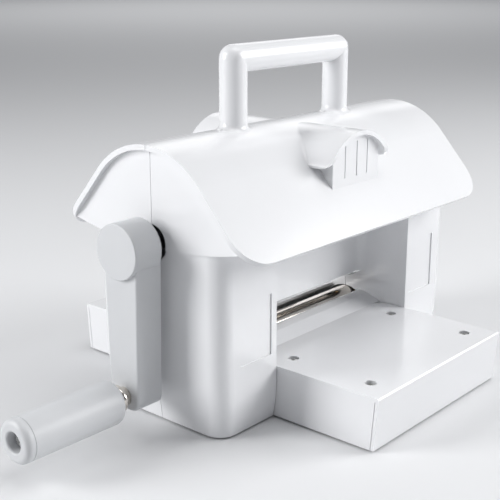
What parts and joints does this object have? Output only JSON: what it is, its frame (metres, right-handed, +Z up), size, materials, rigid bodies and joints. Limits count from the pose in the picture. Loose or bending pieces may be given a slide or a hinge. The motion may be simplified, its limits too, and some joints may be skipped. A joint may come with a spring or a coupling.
{
  "type": "die cutting machine",
  "caption": "Hand-cranked die cutting machine with a white house-shaped body, steel rollers between two legs, feed tables in front and behind, a side crank and a carry handle.",
  "frame": {"origin": "centre of the rubber mat's underside, on the surface that the machine stands on", "axes": "+X along the rollers away from the crank, +Z up, -Y the front with one of the two feed tables"},
  "size_m": [0.387, 0.2742, 0.2437],
  "materials": {
    "white_plastic": "satin-gloss injection-moulded ABS",
    "grey_plastic": "satin light grey moulded plastic",
    "polished_steel": "ground and polished steel",
    "frame_steel": "zinc-plated sheet and bar",
    "gear_steel": "cut steel gears",
    "ring_steel": "blackened spring steel",
    "screw_steel": "zinc-plated screws",
    "bush_bronze": "sintered bronze",
    "mat_rubber": "non-slip rubber sheet"
  },
  "bodies": {
    "frame": {"base_mat": "mat_rubber", "base_plate": "frame_steel", "base_screws": "screw_steel", "bracket_screws": "screw_steel", "bracket_standoffs": "frame_steel", "crank_bush_inner": "bush_bronze", "crank_bush_outer": "bush_bronze", "frame_foot_screws": "screw_steel", "front_table_cover": "white_plastic", "front_table_fascia": "white_plastic", "front_table_screws": "screw_steel", "gear_bracket": "frame_steel", "housing_screws": "screw_steel", "left_side_frame": "frame_steel", "lower_bush_left": "bush_bronze", "lower_bush_right": "bush_bronze", "lower_housing_front": "white_plastic", "lower_housing_rear": "white_plastic", "rear_table_cover": "white_plastic", "rear_table_fascia": "white_plastic", "rear_table_screws": "screw_steel", "right_side_frame": "frame_steel", "roof_screws": "screw_steel", "roof_shell_front": "white_plastic", "roof_shell_rear": "white_plastic", "tie_rod_nuts": "screw_steel", "tie_rods": "frame_steel", "upper_bush_left": "bush_bronze", "upper_bush_right": "bush_bronze"},
    "crank": {"crank_shaft": "frame_steel", "crank_pinion": "gear_steel", "crank_retaining_ring": "ring_steel", "crank_arm": "grey_plastic", "crank_hub_cap": "grey_plastic", "crank_screw": "screw_steel", "grip_spindle": "polished_steel", "grip_washer": "screw_steel", "grip_screw": "screw_steel"},
    "grip": {"grip": "grey_plastic"},
    "upper_roller": {"upper_roller": "polished_steel", "upper_roller_axle": "frame_steel", "drive_gear": "gear_steel", "upper_sync_gear": "gear_steel", "upper_thrust_washers": "ring_steel", "upper_retaining_rings": "ring_steel"},
    "lower_roller": {"lower_roller": "polished_steel", "lower_roller_axle": "frame_steel", "lower_sync_gear": "gear_steel", "lower_thrust_washers": "ring_steel", "lower_retaining_rings": "ring_steel"}
  },
  "joints": [
    {"name": "crank_turn", "type": "hinge", "parent": "frame", "child": "crank", "pos_m": [-0.1, 0, 0.12475], "axis": [1, 0, 0], "continuous": true},
    {"name": "grip_spin", "type": "hinge", "parent": "crank", "child": "grip", "pos_m": [-0.2, 0, 0.0285], "axis": [1, 0, 0], "continuous": true},
    {"name": "upper_roller_turn", "type": "hinge", "parent": "frame", "child": "upper_roller", "pos_m": [0, 0, 0.07], "axis": [1, 0, 0], "continuous": true},
    {"name": "lower_roller_turn", "type": "hinge", "parent": "frame", "child": "lower_roller", "pos_m": [0, 0, 0.034], "axis": [1, 0, 0], "continuous": true}
  ],
  "couplings": [
    {"joint": "upper_roller_turn", "follows": "crank_turn", "ratio": -0.25862},
    {"joint": "lower_roller_turn", "follows": "crank_turn", "ratio": 0.25862}
  ]
}
